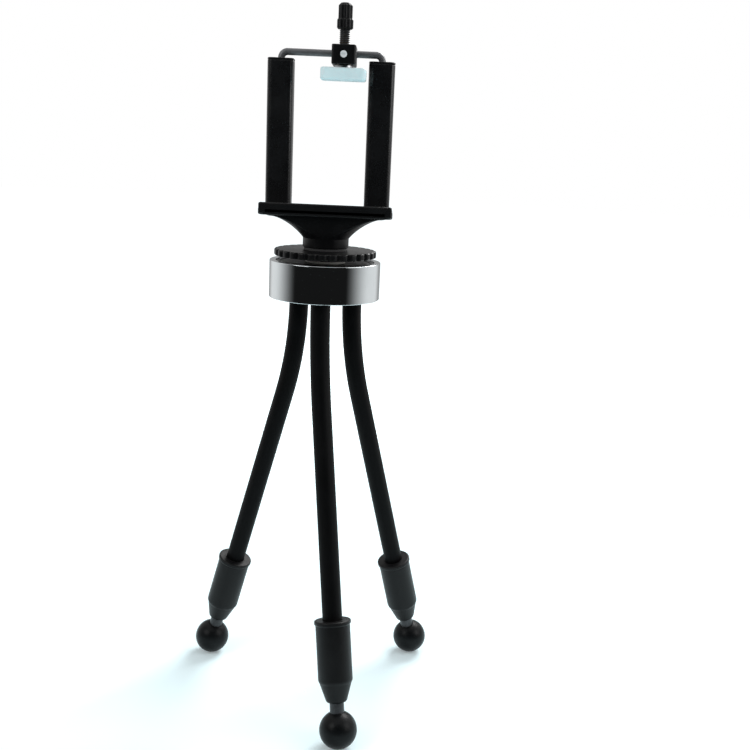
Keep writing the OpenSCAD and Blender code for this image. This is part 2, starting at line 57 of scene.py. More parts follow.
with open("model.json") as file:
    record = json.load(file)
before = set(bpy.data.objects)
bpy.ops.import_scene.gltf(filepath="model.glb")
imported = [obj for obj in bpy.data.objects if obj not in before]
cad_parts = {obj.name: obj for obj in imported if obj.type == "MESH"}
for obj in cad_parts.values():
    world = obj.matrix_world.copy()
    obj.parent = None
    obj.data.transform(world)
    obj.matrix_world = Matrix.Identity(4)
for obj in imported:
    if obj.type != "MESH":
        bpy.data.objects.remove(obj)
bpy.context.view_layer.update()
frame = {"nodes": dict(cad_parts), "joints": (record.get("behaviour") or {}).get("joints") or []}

MM = 0.001
JOINTS = {joint["name"]: joint for joint in frame["joints"]}
LEGS = ("left", "front", "right")
HUB_X, HUB_Y = JOINTS["wheel_turn"]["pos_m"][:2]
UP = np.array([0.0, 0.0, 1.0])
FLAT = np.array([1, 1, 0])  # a place times this is the place without its height
FIT_GAP = 0.03 * MM  # between a drawn piece and what sits in it


def middle(node):
    return np.sum(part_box(node), 0) / 2


def span(node):
    """Half of a node's width, half of its depth, and the heights of its foot and its top.

    The first is the radius of a round upright node."""
    (x0, y0, z0), (x1, y1, z1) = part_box(node)
    return (x1 - x0) / 2, (y1 - y0) / 2, z0, z1


def joint_place(name):
    return np.array(JOINTS[name]["pos_m"])


def number(text, value, about, **kind):
    return FloatProperty(name=text, description=about, default=value, **kind)


def length(text, value, about):
    """A length setting, given here in millimetres and shown in the scene's units."""
    return number(text, value * MM, about, unit="LENGTH", precision=5)


def colour(text, value, about):
    """A colour setting, in the linear values that a shader takes."""
    return FloatVectorProperty(
        name=text, description=about, default=value, subtype="COLOR", size=3, min=0, max=1
    )


def share(text, value, about):
    """A setting from 0 to 1."""
    return number(text, value, about, min=0, max=1, subtype="FACTOR")


def angle(text, value, about):
    """An angle setting, given here in degrees."""
    return number(text, math.radians(value), about, subtype="ANGLE")


def count(text, value, about, fewest, most):
    return IntProperty(name=text, description=about, default=value, min=fewest, max=most)


class LegSettings(bpy.types.PropertyGroup):
    """Sizes and colour of the rubber legs"""

    skin_diameter: length("Skin Diameter", 7.7, "Diameter of the rubber skin of a leg")
    bend_reach: length("Bend Reach", 8, "Length of skin that bends on each side of a joint")
    ferrule_reach: length(
        "Ferrule Reach", 1.75, "Distance from a leg's root up to the ferrule's rim"
    )
    seam_height: length("Seam Height", 0.05, "Height of the mould seam along the skin")
    rubber: colour("Rubber", (0.002, 0.002, 0.0022), "Colour of the leg rubber")
    sides: count("Sides", 56, "Points round a leg", 12, 128)


class FootSettings(bpy.types.PropertyGroup):
    """Sizes and colours of the end sleeves and the ball feet"""

    sleeve_diameter: length("Sleeve Diameter", 13.4, "Diameter of an end sleeve")
    sleeve_length: length("Sleeve Length", 31.3, "Length of an end sleeve")
    taper: length("Taper", 7.3, "Length of the tapered end of a sleeve")
    rim_height: length("Rim Height", 1.8, "Thickness of the rim at a sleeve's top")
    rim_step: length("Rim Step", 0.45, "How far the rim stands out of the sleeve")
    neck_length: length("Neck Length", 3.4, "Length of stud between sleeve and ball")
    stud_diameter: length("Stud Diameter", 5.6, "Diameter of the foot studs")
    sleeve_colour: colour("Sleeve Colour", (0.0048, 0.0049, 0.0052), "Colour of the end sleeves")
    ball_colour: colour("Ball Colour", (0.003, 0.0034, 0.0038), "Colour of the ball feet")


class HubSettings(bpy.types.PropertyGroup):
    """Shape and colours of the hub and the platform wheel"""

    collar_wall: length("Collar Wall", 2.4, "Wall of the bright collar")
    notches: count("Notches", 30, "Grip notches round the wheel", 8, 60)
    notch_depth: length("Notch Depth", 1.0, "Depth of a grip notch")
    chrome: colour("Chrome", (0.68, 0.72, 0.735), "Colour of the collar's plating")
    moulded_black: colour("Moulded Black", (0.004, 0.004, 0.0044), "Colour of the moulded parts")


class ClampSettings(bpy.types.PropertyGroup):
    """Shape and colours of the clamp's base, rails and springs"""

    neck_diameter: length("Neck Diameter", 18, "Diameter of the neck under the ledge")
    neck_height: length("Neck Height", 3.7, "Height of the straight part of the neck")
    flare_width: length("Flare Width", 47, "Width of the flare where it meets the ledge")
    cone_share: share("Cone Share", 0.45, "Share of the flare's reach that grows as in a cone")
    flare_depth: length("Flare Depth", 19, "Depth of the flare from front to back")
    ledge_thickness: length("Ledge Thickness", 2.7, "Thickness of the ledge")
    lip_thickness: length("Lip Thickness", 2, "Thickness of the front lip")
    corner: length("Corner", 3, "Corner radius of the ledge, seen from above")
    rail_corner: length("Rail Corner", 2, "Corner radius of a rail, seen from above")
    ledge_ribs: count("Ledge Ribs", 6, "Grooves along the ledge pad", 1, 12)
    rib_depth: length("Rib Depth", 0.25, "Depth of the grooves in the ledge pad")
    spring_wire: length("Spring Wire", 0.9, "Diameter of the wire of the springs in the rails")
    spring_turns: count("Spring Turns", 12, "Turns of a spring", 4, 40)
    rail_black: colour("Rail Black", (0.0045, 0.0045, 0.005), "Colour of the rails' paint")


class HeadSettings(bpy.types.PropertyGroup):
    """Shape and colours of the bail, the pads and the thumb screw"""

    wire_diameter: length("Wire Diameter", 2.6, "Diameter of the bail wire")
    bend_radius: length("Bend Radius", 2.4, "Radius of the bail's bends, on the wire's middle")
    screw_diameter: length("Screw Diameter", 4, "Diameter of the thumb screw")
    pitch: length("Pitch", 0.7, "Pitch of the thumb screw's thread")
    flutes: count("Flutes", 10, "Flutes round the knob", 4, 24)
    pad_corner: length("Pad Corner", 2, "Corner radius of the pressure pad, seen from above")
    swivel_diameter: length("Swivel Diameter", 6.86, "Diameter of the seat round the swivel")
    swivel_lip: length("Swivel Lip", 0.6, "How far the swivel's lip stands out under the pad's top")
    swivel_plate: length("Swivel Plate", 0.86, "Height of the recess for the swivel's lip")
    pad_pale: colour("Pad Colour", (0.68, 0.83, 0.86), "Colour of the pressure pad")
    steel: colour("Steel", (0.56, 0.57, 0.585), "Colour of bare steel")
    dull_wire: colour("Dull Wire", (0.13, 0.132, 0.137), "Colour of the bail's darkened wire")
    zinc: colour("Zinc", (0.86, 0.87, 0.88), "Colour of the lock screw's zinc plating")


class StageSettings(bpy.types.PropertyGroup):
    """Camera, floor and light"""

    distance: length("Camera Distance", 404, "Distance from the camera to its aim point")
    aim_x: length("Aim X", 21.58, "Aim point to the right of the hub's axis")
    aim_z: length("Aim Z", 136.4, "Height of the aim point")
    elevation: angle("Elevation", 12.889, "Camera angle above the aim point")
    roll: angle("Roll", 2.484, "How far the picture leans to the right")
    lens: number("Lens", 48, "Focal length, in millimetres")
    world_light: share("World Light", 0.42, "Level of light from all round")
    near_glow: share("Near Glow", 0.15, "Light of the floor's own near the feet, to the camera")
    far_glow: share("Far Glow", 0.75, "Light of the floor's own beyond its lit part, to the camera")
    floor_tint: colour("Floor Tint", (0.76, 0.93, 0.97), "Colour of the floor's shadowed side")


def unit(v):
    return v / np.linalg.norm(v, axis=-1, keepdims=True)


def smooth_step(t):
    """From 0 to 1 as t goes from 0 to 1, level at both ends: t^2 (3 - 2 t)."""
    t = np.clip(t, 0, 1)
    return t * t * (3 - 2 * t)


def circle_angles(sides):
    return np.arange(sides) * 2 * math.pi / sides


def circle(sides):
    """The unit circle: x = cos a, y = sin a."""
    a = circle_angles(sides)
    return np.stack([np.cos(a), np.sin(a)], -1)


def rectangle(half_x, half_y):
    return [(-half_x, -half_y), (half_x, -half_y), (half_x, half_y), (-half_x, half_y)]


ARC_SHARE = 0.42  # the most of an edge that an arc takes
SHOULDER = 0.3  # from an arc to the point beyond it, in lengths of the arc's tangent
SHOULDER_SHARE = 0.05  # the most of an edge that this distance takes


def round_corners(points, radius, steps=5, closed=True):
    """Replaces each corner of an outline by a circular arc that meets both of its edges.

    The arc is a rational quadratic curve from the corner's first tangent point A over the corner P
    to its second tangent point C, with the sine of half the corner's angle as the weight of P. A
    further point lies on the edge before A and after C, which keeps flat stretches flat to look at.
    radius is one value or one for each corner."""
    points = np.asarray(points, float)
    before, after = np.roll(points, 1, 0) - points, np.roll(points, -1, 0) - points
    reach_before, reach_after = np.linalg.norm(before, axis=1), np.linalg.norm(after, axis=1)
    d1, d2 = unit(before), unit(after)
    half = np.arccos(np.clip((d1 * d2).sum(1), -1, 1)) / 2
    tangent = np.broadcast_to(np.asarray(radius, float), len(points)) / np.tan(half)
    shortest = np.minimum(reach_before, reach_after)
    tangent = np.minimum(tangent, shortest * ARC_SHARE)[:, None]
    shoulder = tangent + np.minimum(tangent * SHOULDER, shortest[:, None] * SHOULDER_SHARE)
    a, c = points + d1 * tangent, points + d2 * tangent
    outer_a, outer_c = (points + d1 * shoulder)[:, None], (points + d2 * shoulder)[:, None]
    t = np.linspace(0, 1, steps)[None, :, None]
    w = np.sin(half)[:, None, None]
    p, a, c = points[:, None], a[:, None], c[:, None]
    weight = (1 - t) ** 2 + 2 * w * t * (1 - t) + t ** 2
    arcs = ((1 - t) ** 2 * a + 2 * w * t * (1 - t) * p + t ** 2 * c) / weight
    arcs = np.concatenate([outer_a, arcs, outer_c], 1)
    if not closed:
        arcs = [points[:1], arcs[1:-1].reshape(-1, points.shape[1]), points[-1:]]
        return np.concatenate(arcs)
    return arcs.reshape(-1, points.shape[1])


def lathe(profile, turns):
    """A profile of (radius, height) turned round Z: x = r cos a, y = r sin a, z = h."""
    r, z = np.asarray(profile, float).T[:, :, None]
    return np.stack([r * np.cos(turns), r * np.sin(turns), z + 0 * turns], -1)


def fluted(profile, flutes, steps, depth, power, fade):
    """A lathed profile whose radius is less by a share of it at the flutes.

    At the angle a of n flutes the share is depth times fade times ((1 + cos(n a)) / 2)^power."""
    a = circle_angles(flutes * steps)
    grid = lathe(profile, a)
    flute = ((1 + np.cos(flutes * a)) / 2) ** power
    grid[..., :2] *= (1 - depth * flute[None, :] * fade[:, None])[..., None]
    return grid


SLAB_STEPS = 6
FLAT_START = 1.3  # where a slab's flat side starts, in radii of its edge


def slab(half_x, half_y, corner, z_low, z_high, edge, steps=9):
    """A slab with rounded corners and rounded edges, as rows of one outline.

    On a quarter circle of the angle a the outline is drawn in by edge (1 - sin a) and its height is
    edge (1 - cos a) above the lower face, and the same below the upper face."""
    a = np.linspace(0, math.pi / 2, SLAB_STEPS)
    rise = np.append(edge * (1 - np.cos(a)), edge * FLAT_START)
    draw = np.append(edge * (1 - np.sin(a)), 0)
    z = np.concatenate([z_low + rise, z_high - rise[::-1]])
    rows = np.array([
        round_corners(rectangle(half_x - i, half_y - i), max(corner - i, edge / 4), steps)
        for i in (*draw, *draw[::-1])
    ])
    return np.concatenate([rows, np.broadcast_to(z[:, None, None], rows.shape[:2] + (1,))], -1)


def holed_slab(half_x, half_y, corner, hole, hole_xy, z_low, z_high, edge, steps=9):
    """The slab with a round hole: rows go up its outside, over the top, down the hole and back.

    A point of the hole lies at the same angle round the hole's middle as its point outside."""
    outside = slab(half_x, half_y, corner, z_low, z_high, edge, steps)
    spokes = outside[SLAB_STEPS, :, :2] - hole_xy
    bevel = edge / 2
    profile = [
        (hole + bevel, z_high), (hole, z_high - bevel), (hole, z_low + bevel), (hole + bevel, z_low)
    ]
    wall = lathe(profile, np.arctan2(spokes[:, 1], spokes[:, 0]))
    return np.concatenate([outside, wall + [*hole_xy, 0]])


def carry(path, tangents, across, outline):
    """An outline (u, v) carried along a path: point = path + u across + v (tangent x across)."""
    second = unit(np.cross(tangents, across))
    u, v = outline[None, :, :1], outline[None, :, 1:]
    return path[:, None] + u * across[:, None] + v * second[:, None]


def placed(points, origin, z_axis):
    """Turns local Z to z_axis and moves the local origin to origin."""
    z = unit(z_axis)
    side = np.array([1.0, 0, 0]) if abs(z[0]) < 0.9 else np.array([0, 1.0, 0])
    x = unit(side - z * (side @ z))
    return points @ np.array([x, np.cross(z, x), z]) + origin


def at_hub(points):
    return points + np.array([HUB_X, HUB_Y, 0])


def quads(grid, ring=False, start=0):
    """The faces of a grid that is closed in its second direction and, as a ring, in its first.

    They point outwards when the rows go along an axis and the points of a row go round that axis
    against the clock, seen from its far end."""
    rows, sides = grid.shape[:2]
    i, j = np.meshgrid(np.arange(rows if ring else rows - 1), np.arange(sides), indexing="ij")
    k, m = (i + 1) % rows, (j + 1) % sides
    corners = [i * sides + j, i * sides + m, k * sides + m, k * sides + j]
    return (np.stack(corners, -1) + start).reshape(-1, 4).tolist()


def end_faces(grid, start):
    """The triangles from a grid's first and last rows to two more points, their middles."""
    rows, sides = grid.shape[:2]
    j = np.arange(sides)
    m, last_row = (j + 1) % sides, start + (rows - 1) * sides
    first_middle = np.full(sides, start + rows * sides)
    first = np.stack([m + start, j + start, first_middle], -1)
    last = np.stack([j + last_row, m + last_row, first_middle + 1], -1)
    return np.concatenate([first, last]).tolist()


def linked(name, data):
    new = bpy.data.objects.new(name, data)
    bpy.context.scene.collection.objects.link(new)
    return new


def mesh_object(name, vertices, faces, material):
    mesh = bpy.data.meshes.new(name)
    mesh.from_pydata(vertices.tolist(), [], faces)
    mesh.materials.append(material)
    return linked(name, mesh)


def piece(name, look, node, body, *grids, slot=None, ring=False, sharp=38):
    """One mesh object that stands for a CAD node and, if a body is named, rides it.

    Each grid is a closed skin: a ring, or a tube with closed ends. The mesh is smooth but for edges
    sharper than sharp degrees. The slot argument is not used."""
    vertices, faces, start = [], [], 0
    for grid in grids:
        skin = [grid.reshape(-1, 3)]
        faces += quads(grid, ring, start)
        if not ring:
            skin.append([grid[0].mean(0), grid[-1].mean(0)])
            faces += end_faces(grid, start)
        vertices += skin
        start += sum(map(len, skin))
    new = mesh_object(name, np.concatenate(vertices), faces, finished(look))
    mesh = new.data
    mesh.polygons.foreach_set("use_smooth", np.ones(len(mesh.polygons), bool))
    mesh.set_sharp_from_angle(angle=math.radians(sharp))
    mesh.validate()
    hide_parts(node)
    if body:
        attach(new, body)
    return new


def dress(look, *nodes):
    """Gives CAD nodes whose shape is right their finish."""
    for node in nodes:
        materials = frame["nodes"][node].data.materials
        materials.clear()
        materials.append(finished(look))


def feed(tree, node, *values, **named):
    """Sets a node's inputs, by their order or names, to values or links them to outputs."""
    named = {text.replace("_", " ").title(): value for text, value in named.items()}
    for key, value in (*enumerate(values), *named.items()):
        if isinstance(value, bpy.types.NodeSocket):
            tree.links.new(value, node.inputs[key])
        else:
            node.inputs[key].default_value = value
    return node


def add(tree, kind, *values, **named):
    return feed(tree, tree.nodes.new("ShaderNode" + kind), *values, **named)


def math_node(tree, operation, a, b):
    """The result of a math node whose two inputs are numbers or outputs."""
    node = add(tree, "Math", a, b)
    node.operation = operation
    return node.outputs[0]


def noise(tree, vector, scale, detail=2.0, roughness=0.5):
    node = add(tree, "TexNoise", vector=vector, scale=scale, detail=detail, roughness=roughness)
    return node.outputs["Fac"]


def new_group(name, inputs, output):
    """An empty shader node group with a vector and float inputs, and one float output."""
    group = bpy.data.node_groups.new(name, "ShaderNodeTree")
    group.interface.new_socket("Vector", in_out="INPUT", socket_type="NodeSocketVector")
    for text, value in inputs.items():
        socket = group.interface.new_socket(text, in_out="INPUT", socket_type="NodeSocketFloat")
        socket.default_value = value
    group.interface.new_socket(output, in_out="OUTPUT", socket_type="NodeSocketFloat")
    start, end = group.nodes.new("NodeGroupInput"), group.nodes.new("NodeGroupOutput")
    return group, start.outputs, end.inputs[output]


def grain():
    """Fine moulded grain: small noise, broken up by noise six times as large."""
    inputs = {"Scale": 2500, "Large Share": 0.35}
    group, given, height = new_group("Moulded Grain", inputs, "Height")
    fine = noise(group, given["Vector"], given["Scale"], 3.0, 0.6)
    wide = noise(group, given["Vector"], math_node(group, "DIVIDE", given["Scale"], 6.0))
    wide = math_node(group, "MULTIPLY", wide, given["Large Share"])
    group.links.new(math_node(group, "ADD", fine, wide), height)
    return group


def handling():
    """Marks of handling: soft patches where skin has touched, with a few thin scratches.

    It is contrast (patches - edge), plus faintness where the scratches' noise is over rare."""
    contrast, edge, faintness, rare = 2.2, 0.35, 0.35, 0.7
    inputs = {"Patch Scale": 90, "Scratch Scale": 900}
    group, given, mask = new_group("Handling Marks", inputs, "Mask")
    patches = noise(group, given["Vector"], given["Patch Scale"], 4.0, 0.62)
    drawn_out = add(
        group, "Mapping", vector=given["Vector"], scale=(1.0, 0.12, 0.3), rotation=(0.5, 0.4, 0.9)
    )
    lines = noise(group, drawn_out.outputs["Vector"], given["Scratch Scale"], 1.0)
    thin = math_node(group, "GREATER_THAN", lines, rare)
    thin = math_node(group, "MULTIPLY", thin, faintness)
    smooth = math_node(group, "SUBTRACT", patches, edge)
    smooth = math_node(group, "MULTIPLY", smooth, contrast)
    group.links.new(math_node(group, "ADD", smooth, thin), mask)
    return group


def brushing():
    """Turned or drawn metal: noise drawn out to lines round the object's Z axis."""
    group, given, height = new_group("Fine Brushing", {"Scale": 1500}, "Height")
    drawn_out = add(group, "Mapping", vector=given["Vector"], scale=(0.04, 0.04, 1.0))
    group.links.new(noise(group, drawn_out.outputs["Vector"], given["Scale"], 3.0), height)
    return group


SHARED = {}


def placed_group(tree, maker, **inputs):
    """A shared node group, built when it is first needed, with its own inputs."""
    if maker not in SHARED:
        SHARED[maker] = maker()
    node = tree.nodes.new("ShaderNodeGroup")
    node.node_tree = SHARED[maker]
    return feed(tree, node, **inputs).outputs[0]


def blend_colour(tree, mask, first, second):
    """A mix node's colours, its inputs 6 and 7, blended by its input 0."""
    node = tree.nodes.new("ShaderNodeMix")
    node.data_type = "RGBA"
    node.inputs[6].default_value = (*first, 1)
    node.inputs[7].default_value = (*second, 1)
    tree.links.new(mask, node.inputs[0])
    return node.outputs[2]


# For each look: its colour, or the settings and the setting that hold it; the colour where it was
# handled, or that colour's factor; the roughness, untouched and handled; the relief with its scale
# and its depth in millimetres; and other values of make_finish.
FINISHES = {
    "moulded_black": (("hub", "moulded_black"), 1.5, (0.3, 0.42), grain, 2600, 0.03,
        {"specular": 0.19}),
    "rail_paint": (("clamp", "rail_black"), 1.6, (0.24, 0.36), grain, 3400, 0.02,
        {"coat": 0.2, "specular": 0.35}),
    "leg_rubber": (("leg", "rubber"), 1.6, (0.45, 0.58), grain, 1900, 0.05,
        {"patch_scale": 60, "specular": 0.08}),
    "sleeve_plastic": (("foot", "sleeve_colour"), 1.4, (0.38, 0.5), grain, 2400, 0.04,
        {"specular": 0.17}),
    "ball_rubber": (("foot", "ball_colour"), 1.6, (0.3, 0.44), grain, 1600, 0.05,
        {"specular": 0.13}),
    "chrome": (("hub", "chrome"), 0.94, (0.05, 0.11), brushing, 700, 0.002, {"metallic": 1.0}),
    "steel": (("head", "steel"), 0.8, (0.24, 0.36), brushing, 1500, 0.01, {"metallic": 1.0}),
    "dull_wire": (("head", "dull_wire"), 1.3, (0.4, 0.5), brushing, 1500, 0.01, {"metallic": 0.4}),
    "zinc": (("head", "zinc"), 0.9, (0.35, 0.5), grain, 2500, 0.01, {"metallic": 0.3}),
    "brass": ((0.78, 0.58, 0.28), (0.62, 0.44, 0.2), (0.22, 0.34), brushing, 1800, 0.01,
        {"metallic": 1.0}),
    "black_oxide": ((0.03, 0.03, 0.032), (0.07, 0.07, 0.075), (0.34, 0.46), grain, 3000, 0.02,
        {"metallic": 0.6}),
    "grip_rubber": ((0.02, 0.02, 0.021), (0.045, 0.045, 0.047), (0.6, 0.75), grain, 2200, 0.06, {}),
    "nylon": ((0.8, 0.79, 0.74), (0.7, 0.69, 0.63), (0.4, 0.5), grain, 2800, 0.02, {}),
    "pale_rubber": (("head", "pad_pale"), 0.9, (0.36, 0.5), grain, 2000, 0.03,
        {"subsurface": 0.25}),
}
MADE = {}


def finished(look):
    """The material of a look, made when it is first needed."""
    if look not in MADE:
        *values, others = FINISHES[look]
        MADE[look] = make_finish(look, *values, **others)
    return MADE[look]


def make_finish(name, base, handled, roughness, relief, scale, depth, patch_scale=90, metallic=0.0,
                coat=0.0, specular=0.5, subsurface=0.0):
    """A material with a fine relief, and colour and roughness that vary where it was handled."""
    if len(base) == 2:
        base = getattr(getattr(bpy.context.scene, "tripod_" + base[0]), base[1])
    if isinstance(handled, float):
        handled = [min(value * handled, 1) for value in base]
    material = bpy.data.materials.new(name)
    material.use_nodes = True
    tree = material.node_tree
    place = add(tree, "TexCoord").outputs["Object"]
    marks = placed_group(tree, handling, vector=place, patch_scale=patch_scale)
    rough = add(tree, "MapRange", value=marks, to_min=roughness[0], to_max=roughness[1])
    height = placed_group(tree, relief, vector=place, scale=scale)
    bump = add(tree, "Bump", distance=depth * MM, strength=1.0, height=height)
    shader = feed(
        tree, tree.nodes["Principled BSDF"], base_color=blend_colour(tree, marks, base, handled),
        roughness=rough.outputs["Result"], normal=bump.outputs["Normal"], metallic=metallic,
        coat_weight=coat, coat_roughness=0.12,
    )
    shader.inputs["Specular IOR Level"].default_value = specular
    if subsurface:
        feed(tree, shader, subsurface_weight=subsurface, subsurface_radius=(0.6, 1.0, 1.0),
             subsurface_scale=2 * MM)
    return material


def foot_frame(leg):
    """The middle of a leg's ball, the direction back up its last stretch, and the ball's radius."""
    last, knee = joint_place(f"{leg}_knee_swing"), joint_place(f"{leg}_knee_splay")
    radius, _, foot, _ = span(f"{leg}_ball")
    up = unit(knee - last)
    return last - up * (last[2] - (foot + radius)) / up[2], up, radius


def sleeve_reaches(ball_radius):
    """From a ball's middle to the sleeve's narrow end, to its rim and to the skin's end in it."""
    sizes = bpy.context.scene.tripod_foot
    foot = ball_radius + sizes.neck_length
    rim = foot + sizes.sleeve_length
    return foot, rim, rim - sizes.sleeve_diameter


class TRIPOD_OT_leg_skins(bpy.types.Operator):
    """Draws the unbroken rubber skins of the three legs"""

    bl_idname = "tripod.leg_skins"
    bl_label = "Leg Skins"

    def execute(self, context):
        for leg in LEGS:
            self.leg(leg, context.scene.tripod_leg)
        return {"FINISHED"}

    def leg(self, leg, sizes):
        """Four stretches of one skin, each of which bends over one joint.

        The middle line is straight down above the root, then an arc to the third joint, then
        straight again: at the angle f of the arc it has moved R (1 - cos f) outward and R sin f
        down. Its radius has a narrow seam on both sides, exp(-(sin a / width)^2) high."""
        root, knee = joint_place(f"{leg}_splay"), joint_place(f"{leg}_knee_splay")
        last = joint_place(f"{leg}_knee_swing")
        straight = unit(last - knee)
        outward = unit(straight * FLAT)
        bend = math.acos(-straight[2])
        radius = np.linalg.norm(knee - root) / 2 / math.sin(bend / 2)
        arc = radius * bend
        bends = [0, arc / 2, arc, arc + np.linalg.norm(last - knee)]
        ball, _, ball_radius = foot_frame(leg)
        end = bends[3] + np.linalg.norm(last - ball) - sleeve_reaches(ball_radius)[2] - FIT_GAP

        def line(s):
            """Points and directions of the middle line at the lengths s below the root."""
            f = np.clip(s / radius, 0, bend)[:, None]
            beyond = np.maximum(s - arc, 0)[:, None]
            above = np.minimum(s, 0)[:, None]
            down = radius * np.sin(f)
            out = radius * (1 - np.cos(f))
            points = root + out * outward - (down + above) * UP + beyond * straight
            return points, unit(np.sin(f) * outward - np.cos(f) * UP)

        seam_width, rows = 0.16, 60
        seam = np.exp(-((np.sin(circle_angles(sizes.sides)) / seam_width) ** 2)) * sizes.seam_height
        outline = circle(sizes.sides) * (sizes.skin_diameter / 2 + seam)[:, None]
        across = np.cross(outward, UP)
        between = [(first + second) / 2 for first, second in zip(bends, bends[1:])]
        stops = [-sizes.ferrule_reach, *between, end]
        for k in range(4):
            points, tangents = line(np.linspace(stops[k], stops[k + 1], rows))
            grid = carry(points, tangents, np.broadcast_to(across, points.shape), outline)
            node = f"{leg}_skin_{k + 1}"
            skin = piece(f"{leg}_leg_skin_{k + 1}", "leg_rubber", node, None, grid, sharp=60)
            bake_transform(skin)


class TRIPOD_OT_feet(bpy.types.Operator):
    """Draws the end sleeves, the studs and the ball feet"""

    bl_idname = "tripod.feet"
    bl_label = "Feet"

    def execute(self, context):
        sizes = context.scene.tripod_foot
        bore = context.scene.tripod_leg.skin_diameter / 2 + FIT_GAP
        stud = sizes.stud_diameter / 2
        a = circle_angles(72)
        for leg in LEGS:
            ball, up, radius = foot_frame(leg)
            body = f"{leg}_leg_4"
            grid = placed(lathe(self.sleeve(sizes, radius, stud, bore), a), ball, up)
            piece(f"{leg}_end_sleeve", "sleeve_plastic", f"{leg}_sleeve", body, grid,
                  slot="sleeve_grey", ring=True)
            grid = placed(lathe(self.ball(radius, stud + FIT_GAP), a), ball, up)
            piece(f"{leg}_ball_foot", "ball_rubber", f"{leg}_ball", body, grid)
        dress("black_oxide", *[f"{leg}_stud" for leg in LEGS])
        return {"FINISHED"}

    def sleeve(self, sizes, radius, stud, bore):
        """The profile of a shell: outside from the narrow end up to the rim, then down the bore."""
        r = sizes.sleeve_diameter / 2
        foot, rim, seat = sleeve_reaches(radius)
        edge, small, soft = 0.5 * MM, 0.15 * MM, 1.2 * MM
        shoulder, under_rim, rim_r = foot + sizes.taper, rim - sizes.rim_height, r + sizes.rim_step
        corners = [
            (stud + FIT_GAP, foot, small / 2), (stud + edge * 1.6, foot, soft),
            (stud + edge * 2.6, foot + edge, soft), (r - edge, shoulder, soft * 3),
            (r, shoulder + edge * 2, soft * 3), (r, under_rim, small),
            (rim_r, under_rim + sizes.rim_step, small * 2), (rim_r, rim - edge / 2, small * 4),
            (r, rim, small * 4), (bore, rim, small), (bore, seat, small),
            (stud + FIT_GAP, seat, small),
        ]
        x, z, radii = np.array(corners).T
        return round_corners(np.stack([x, z], -1), radii)

    def ball(self, radius, bore):
        """The profile of a sphere with the stud's socket in its top: r = R sin a, h = -R cos a."""
        lip, lip_drop, pole, socket_depth = 0.2 * MM, 0.25 * MM, 0.02, radius * 0.66
        a = np.linspace(pole, math.pi - math.asin((bore + lip) / radius), 48)
        sphere = np.stack([radius * np.sin(a), -radius * np.cos(a)], -1)
        socket = [(bore, sphere[-1][1] - lip_drop), (bore, radius - socket_depth)]
        return np.concatenate([sphere, socket])


class TRIPOD_OT_hub(bpy.types.Operator):
    """Draws the bright collar, the moulded core and the notched wheel"""

    bl_idname = "tripod.hub"
    bl_label = "Hub and Wheel"

    def execute(self, context):
        sizes = context.scene.tripod_hub
        self.collar(sizes)
        self.core()
        self.wheel(sizes)
        dress("moulded_black", "bottom_plate")
        dress("steel", "plate_screws", "mount_screw")
        dress("black_oxide", "leg_ferrules")
        dress("brass", "spindle_bush", "threaded_insert")
        dress("nylon", "thrust_washer")
        dress("grip_rubber", "grip_washer")
        return {"FINISHED"}

    def collar(self, sizes):
        """A lathed ring whose outer edges are rounded more than its inner ones."""
        r, _, z0, z1 = span("hub_collar")
        inner = r - sizes.collar_wall
        radii = np.array([0.2, 0.25, 0.25, 0.2]) * MM
        profile = round_corners([(inner, z0), (r, z0), (r, z1), (inner, z1)], radii, 7)
        grid = at_hub(lathe(profile, circle_angles(144)))
        piece("bright_collar", "chrome", "hub_collar", "hub", grid, ring=True)

    def core(self):
        """The moulded core's top: a lathed disc with a shallow groove round it."""
        r, _, z0, z1 = span("hub_body")
        bush = span("spindle_bush")[0] + FIT_GAP
        groove = z1 - 0.3 * MM
        outline = [
            (bush, z0), (r, z0), (r, z1), (r - 1.2 * MM, z1), (r - 1.5 * MM, groove),
            (r - 2.3 * MM, groove), (r - 2.6 * MM, z1), (bush, z1),
        ]
        profile = round_corners(outline, 0.15 * MM, 4)
        grid = at_hub(lathe(profile, circle_angles(96)))
        piece("hub_core", "moulded_black", "hub_body", "hub", grid, ring=True)

    def wheel(self, sizes):
        """A lathed disc with a boss below, whose rim is drawn in at notches that fade inwards."""
        r, _, z0, z1 = span("platform_wheel")
        washer = span("thrust_washer")[0]
        head_overhang, boss, notch_reach = 1.7 * MM, 1.4 * MM, 3 * MM
        bore = span("mount_screw")[0] - head_overhang + FIT_GAP
        under = z0 + boss
        outline = [(bore, z0), (washer, z0), (washer, under), (r, under), (r, z1), (bore, z1)]
        profile = round_corners(outline, np.array([0.1, 0.3, 0.2, 0.6, 0.6, 0.1]) * MM, 7)
        fade = np.clip((profile[:, 0] - (r - notch_reach)) / notch_reach, 0, 1) ** 2
        grid = at_hub(fluted(profile, sizes.notches, 14, sizes.notch_depth / r, 3, fade))
        piece("notched_wheel", "moulded_black", "platform_wheel", "platform", grid, ring=True)


